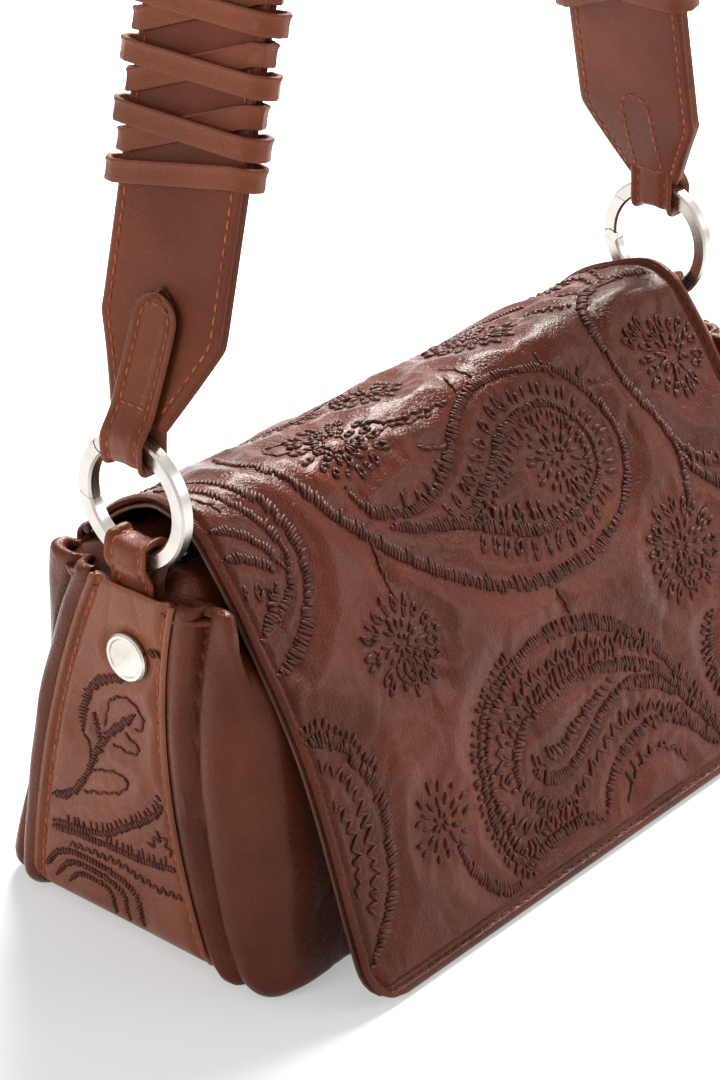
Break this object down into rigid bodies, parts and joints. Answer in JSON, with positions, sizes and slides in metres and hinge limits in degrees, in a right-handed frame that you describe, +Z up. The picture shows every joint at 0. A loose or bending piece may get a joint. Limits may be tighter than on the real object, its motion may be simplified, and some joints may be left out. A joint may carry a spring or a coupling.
{
  "type": "baguette bag",
  "caption": "Short shoulder bag in soft leather with an embroidered fold-over flap, spring-gate rings, a wide lace-wrapped strap and a zipped compartment.",
  "frame": {"origin": "on the floor under the base, on the line through the two strap rings, at the middle of the bag's length", "axes": "+X along the bag's length to its right end, -Y out of the flap's front, +Z up the strap"},
  "size_m": [0.2374, 0.1267, 0.4375],
  "materials": {
    "body_leather": "glossy, soft padded leather",
    "strip_leather": "glossy, embroidered padded leather",
    "flap_leather": "glossy, embroidered padded leather",
    "strap_leather": "satin leather",
    "lace_leather": "satin folded leather lace",
    "lining_cloth": "plain woven lining",
    "zip_cloth": "woven tape",
    "zip_metal": "satin",
    "board": "matt",
    "nickel": "satin nickel"
  },
  "bodies": {
    "root": {"gusset_strip": "strip_leather", "front_panel": "body_leather", "back_panel": "body_leather", "base_board": "board", "bag_lining": "lining_cloth", "mouth_facing_front": "body_leather", "mouth_facing_back": "body_leather", "flap_welt": "body_leather", "zip_tape_front": "zip_cloth", "zip_tape_back": "zip_cloth", "zip_teeth_front": "zip_metal", "zip_teeth_back": "zip_metal", "zip_end_tabs": "body_leather", "ring_tab_left": "strap_leather", "ring_tab_right": "strap_leather", "rivet_cap_left": "nickel", "rivet_cap_right": "nickel", "rivet_back_left": "nickel", "rivet_back_right": "nickel", "magnet_lower": "nickel"},
    "flap": {"flap_outer": "flap_leather", "flap_lining": "lining_cloth", "magnet_upper": "nickel"},
    "ring_left": {"ring_left": "nickel", "gate_pin_left": "nickel"},
    "ring_right": {"ring_right": "nickel", "gate_pin_right": "nickel"},
    "gate_left": {"gate_left": "nickel"},
    "gate_right": {"gate_right": "nickel"},
    "strap": {"strap_outer": "strap_leather", "strap_lining": "strap_leather", "strap_tail_left": "strap_leather", "strap_tail_right": "strap_leather", "strap_lace_left": "lace_leather", "strap_lace_right": "lace_leather"},
    "slider": {"zip_slider": "nickel"},
    "puller": {"zip_puller": "nickel"}
  },
  "joints": [
    {"name": "flap_open", "type": "hinge", "parent": "root", "child": "flap", "pos_m": [0, 0.0294, 0.1054], "axis": [-1, 0, 0], "range_deg": [0, 50]},
    {"name": "strap_swing", "type": "hinge", "parent": "root", "child": "strap", "pos_m": [0, 0, 0.1283], "axis": [-1, 0, 0], "range_deg": [-90, 90]},
    {"name": "ring_left_turn", "type": "hinge", "parent": "root", "child": "ring_left", "pos_m": [-0.111, 0, 0.1283], "axis": [1, 0, 0], "continuous": true},
    {"name": "ring_right_turn", "type": "hinge", "parent": "root", "child": "ring_right", "pos_m": [0.111, 0, 0.1283], "axis": [1, 0, 0], "continuous": true},
    {"name": "gate_left_open", "type": "hinge", "parent": "ring_left", "child": "gate_left", "pos_m": [-0.111, 0.00932, 0.14161], "axis": [1, 0, 0], "range_deg": [-30, 0], "stiffness_Nm_per_rad": 0.005},
    {"name": "gate_right_open", "type": "hinge", "parent": "ring_right", "child": "gate_right", "pos_m": [0.111, 0.01595, 0.1252], "axis": [-1, 0, 0], "range_deg": [-30, 0], "stiffness_Nm_per_rad": 0.005},
    {"name": "zip_slide", "type": "slide", "parent": "root", "child": "slider", "axis": [1, 0, 0], "range_m": [0, 0.176], "deforming": ["zip_tape_front", "zip_tape_back", "zip_teeth_front", "zip_teeth_back"]},
    {"name": "puller_swing", "type": "hinge", "parent": "slider", "child": "puller", "pos_m": [-0.095, 0, 0.1105], "axis": [0, -1, 0], "range_deg": [0, 20]}
  ]
}
